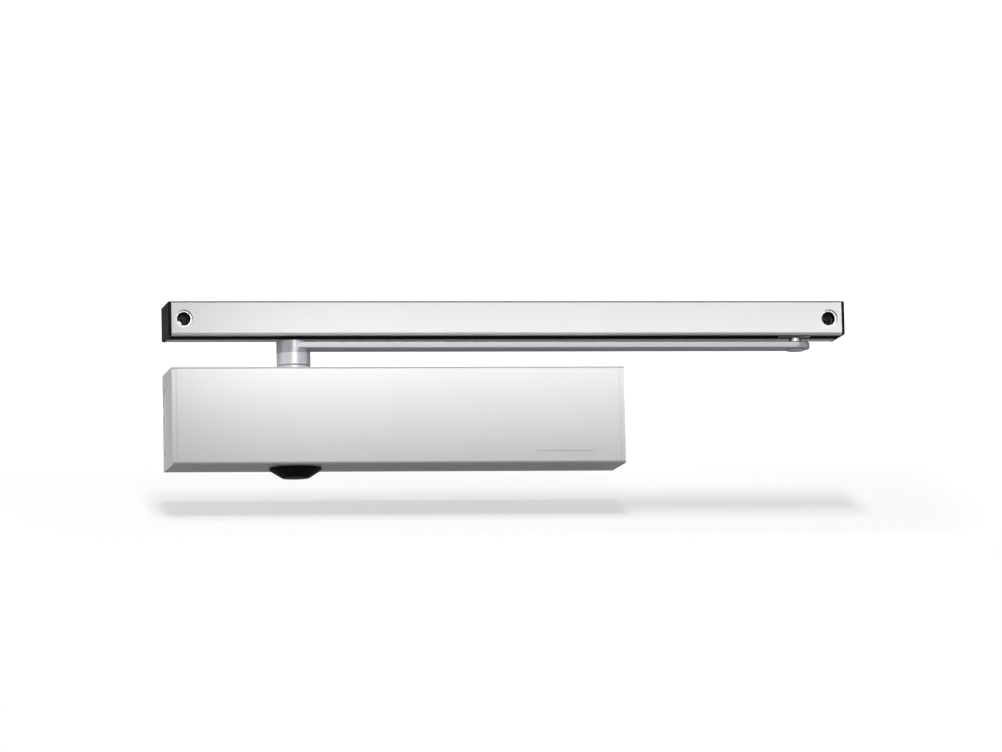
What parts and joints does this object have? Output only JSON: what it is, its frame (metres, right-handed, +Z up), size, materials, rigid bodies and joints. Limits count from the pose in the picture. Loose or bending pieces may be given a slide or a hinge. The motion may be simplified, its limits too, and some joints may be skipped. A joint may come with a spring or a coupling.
{
  "type": "slide rail door closer",
  "caption": "Overhead cam-action door closer: spring and oil body under a slim cover, sprung arm on a vertical spindle, and a slotted guide rail with a slider on the arm's pin.",
  "frame": {"origin": "the closer body's mounting face, level with the middle of the body, behind the spindle axis", "axes": "+X from the spindle along the body and rail, +Y out of the mounting face into the door or wall, +Z up along the spindle"},
  "size_m": [0.431, 0.0473, 0.11],
  "materials": {
    "cover_finish": "silver powder coat, satin",
    "cap_plastic": "silver-grey moulded, fine grain",
    "casting": "grey paint over sand-cast skin, machined faces bare",
    "plain_steel": "turned or ground",
    "hard_steel": "ground and hardened",
    "spring_steel": "oiled and tempered wire",
    "collar_chrome": "bright plated",
    "arm_paint": "silver powder coat, satin",
    "rail_finish": "silver powder coat, satin",
    "black_plastic": "black moulded, fine grain",
    "slider_plastic": "dark low-friction polymer",
    "block_zinc": "die-cast, bare",
    "seal_rubber": "matt black",
    "valve_brass": "turned",
    "bush_bronze": "sintered, oiled"
  },
  "bodies": {
    "closer": {"housing": "casting", "left_plug": "plain_steel", "right_plug": "plain_steel", "left_plug_seal": "seal_rubber", "right_plug_seal": "seal_rubber", "upper_bearing": "hard_steel", "lower_bearing": "hard_steel", "upper_nut": "plain_steel", "lower_nut": "plain_steel", "upper_seal": "seal_rubber", "lower_seal": "seal_rubber", "shaft_collar": "collar_chrome", "spindle_cap": "black_plastic", "main_spring": "spring_steel", "damping_spring": "spring_steel"},
    "cover": {"cover": "cover_finish", "left_end_cap": "cap_plastic", "right_end_cap": "cap_plastic"},
    "spindle_arm": {"camshaft": "hard_steel", "shaft_sleeve": "collar_chrome", "arm": "arm_paint", "arm_bolt": "plain_steel", "slider_pin": "plain_steel"},
    "drive_piston": {"drive_piston": "plain_steel", "drive_piston_ring": "slider_plastic", "drive_check_valve": "valve_brass", "drive_roller_pin": "hard_steel"},
    "drive_roller": {"drive_roller": "hard_steel"},
    "damping_piston": {"damping_piston": "plain_steel", "damping_piston_ring": "slider_plastic", "damping_check_valve": "valve_brass", "damping_roller_pin": "hard_steel"},
    "damping_roller": {"damping_roller": "hard_steel"},
    "spring_plate": {"spring_plate": "plain_steel"},
    "force_screw": {"force_screw": "plain_steel"},
    "closing_valve": {"closing_valve": "valve_brass", "closing_valve_seal": "seal_rubber"},
    "latching_valve": {"latching_valve": "valve_brass", "latching_valve_seal": "seal_rubber"},
    "backcheck_valve": {"backcheck_valve": "valve_brass", "backcheck_valve_seal": "seal_rubber"},
    "slider": {"slider_block": "slider_plastic", "slider_bush": "bush_bronze"},
    "rail": {"rail_profile": "rail_finish", "rail_left_cap": "black_plastic", "rail_right_cap": "black_plastic", "rail_left_block": "block_zinc", "rail_right_block": "block_zinc"}
  },
  "joints": [
    {"name": "arm_swing", "type": "hinge", "parent": "closer", "child": "spindle_arm", "pos_m": [0, -0.0235, 0], "axis": [0, 0, 1], "range_deg": [0, 175], "stiffness_Nm_per_rad": 5, "springref_deg": -68.75},
    {"name": "slider_pivot", "type": "hinge", "parent": "spindle_arm", "child": "slider", "pos_m": [0.321, -0.0235, 0.06225], "axis": [0, 0, 1], "continuous": true},
    {"name": "rail_slide", "type": "slide", "parent": "slider", "child": "rail", "axis": [1, 0, 0], "range_m": [0, 0.371]},
    {"name": "cover_pull", "type": "slide", "parent": "closer", "child": "cover", "axis": [0, -1, 0], "range_m": [0, 0.055]},
    {"name": "drive_piston_slide", "type": "slide", "parent": "closer", "child": "drive_piston", "axis": [1, 0, 0], "range_m": [0, 0.0099], "deforming": ["main_spring"]},
    {"name": "damping_piston_slide", "type": "slide", "parent": "closer", "child": "damping_piston", "axis": [1, 0, 0], "range_m": [0, 0.0099], "deforming": ["damping_spring"]},
    {"name": "drive_roller_spin", "type": "hinge", "parent": "drive_piston", "child": "drive_roller", "pos_m": [0.0135, -0.0235, 0], "axis": [0, 0, 1], "continuous": true},
    {"name": "damping_roller_spin", "type": "hinge", "parent": "damping_piston", "child": "damping_roller", "pos_m": [-0.02365, -0.0235, 0], "axis": [0, 0, 1], "continuous": true},
    {"name": "force_screw_turn", "type": "hinge", "parent": "closer", "child": "force_screw", "pos_m": [0.176, -0.0235, 0], "axis": [-1, 0, 0], "range_deg": [0, 2170]},
    {"name": "spring_plate_slide", "type": "slide", "parent": "closer", "child": "spring_plate", "axis": [-1, 0, 0], "range_m": [0, 0.009]},
    {"name": "closing_valve_turn", "type": "hinge", "parent": "closer", "child": "closing_valve", "pos_m": [-0.044, -0.0445, 0.0235], "axis": [0, -1, 0], "range_deg": [-360, 360]},
    {"name": "latching_valve_turn", "type": "hinge", "parent": "closer", "child": "latching_valve", "pos_m": [-0.033, -0.0445, 0.0235], "axis": [0, -1, 0], "range_deg": [-360, 360]},
    {"name": "backcheck_valve_turn", "type": "hinge", "parent": "closer", "child": "backcheck_valve", "pos_m": [-0.022, -0.0445, 0.0235], "axis": [0, -1, 0], "range_deg": [-360, 360]}
  ],
  "couplings": [
    {"joint": "drive_piston_slide", "follows": "arm_swing", "m_per_rad": 0.0032308},
    {"joint": "damping_piston_slide", "follows": "arm_swing", "m_per_rad": 0.0032308},
    {"joint": "force_screw_turn", "follows": "spring_plate_slide", "rad_per_m": 4188.8}
  ]
}
